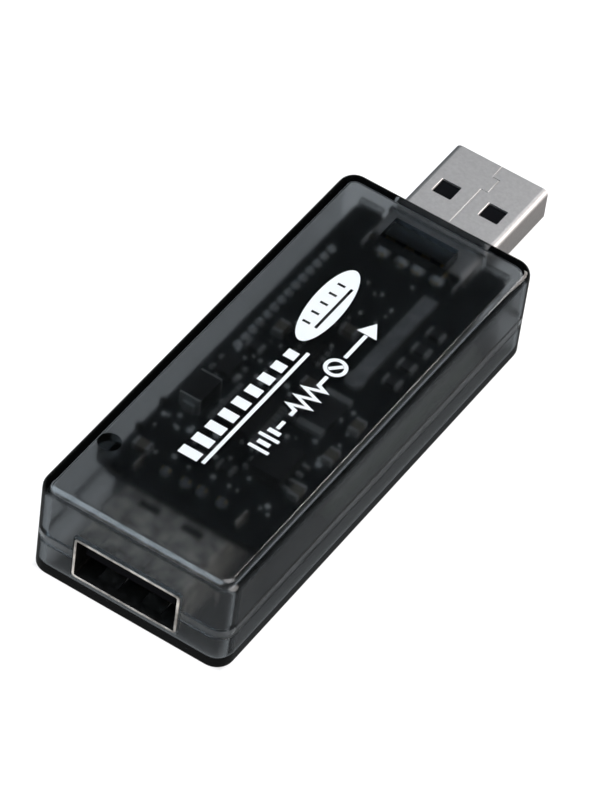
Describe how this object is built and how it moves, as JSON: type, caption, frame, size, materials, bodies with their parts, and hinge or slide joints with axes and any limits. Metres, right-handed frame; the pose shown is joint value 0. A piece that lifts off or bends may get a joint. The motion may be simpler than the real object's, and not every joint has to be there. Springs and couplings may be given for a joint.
{
  "type": "usb power meter",
  "caption": "Smoky see-through stick housing with a USB type A socket at one end and a plug at the other, holding a board, a current shunt, a display and a reset button.",
  "frame": {"origin": "centre of the whole meter in X and Y, plug included, on the level of the display face that it lies on", "axes": "+Y along the meter from the socket end to the plug tip, +Z from the display face up to the printed face, +X across it"},
  "size_m": [0.0244, 0.0724, 0.0129],
  "materials": {
    "smoke_plastic": "glossy outside, finely frosted inside, smoky see-through",
    "window_plastic": "polished, lightly smoked acrylic",
    "nickel_plate": "satin nickel plating on formed sheet",
    "gold_plate": "gold flash on copper alloy",
    "tin_plate": "dull tin and solder",
    "connector_plastic": "fine matt black",
    "chip_plastic": "matt moulded epoxy",
    "backlight_plastic": "matt white",
    "board_laminate": "semi-gloss solder mask over traces",
    "display_glass": "grey-green liquid crystal cell",
    "ceramic": "matt fired ceramic with tinned ends",
    "button_rubber": "matt",
    "white_ink": "thin pad-printed ink, used only for the marks that the visual model adds"
  },
  "bodies": {
    "meter_body": {"back_shell": "smoke_plastic", "front_shell": "smoke_plastic", "display_window": "window_plastic", "switch_body": "connector_plastic", "main_board": "board_laminate", "plug_shell": "nickel_plate", "plug_insulator": "connector_plastic", "plug_contact_1": "gold_plate", "plug_contact_2": "gold_plate", "plug_contact_3": "gold_plate", "plug_contact_4": "gold_plate", "socket_shell": "nickel_plate", "socket_insulator": "connector_plastic", "socket_contact_1": "gold_plate", "socket_contact_2": "gold_plate", "socket_contact_3": "gold_plate", "socket_contact_4": "gold_plate", "lcd_panel": "display_glass", "lcd_backlight": "backlight_plastic", "lcd_pin_strip": "tin_plate", "controller_chip": "chip_plastic", "current_amplifier": "chip_plastic", "memory_chip": "chip_plastic", "voltage_regulator": "chip_plastic", "protection_diode": "chip_plastic", "shunt_resistor": "chip_plastic", "supply_bus_bar": "tin_plate", "timing_crystal": "tin_plate", "resistor_1": "chip_plastic", "resistor_2": "chip_plastic", "resistor_3": "chip_plastic", "resistor_4": "chip_plastic", "resistor_5": "chip_plastic", "resistor_6": "chip_plastic", "resistor_7": "chip_plastic", "resistor_8": "chip_plastic", "capacitor_1": "ceramic", "capacitor_2": "ceramic", "capacitor_3": "ceramic", "capacitor_4": "ceramic", "capacitor_5": "ceramic", "capacitor_6": "ceramic", "capacitor_7": "ceramic"},
    "button_group": {"memory_button": "button_rubber", "switch_plunger": "connector_plastic"}
  },
  "joints": [
    {"name": "memory_button_press", "type": "slide", "parent": "meter_body", "child": "button_group", "axis": [0, 0, 1], "range_m": [0, 0.00025], "stiffness_N_per_m": 6400}
  ]
}
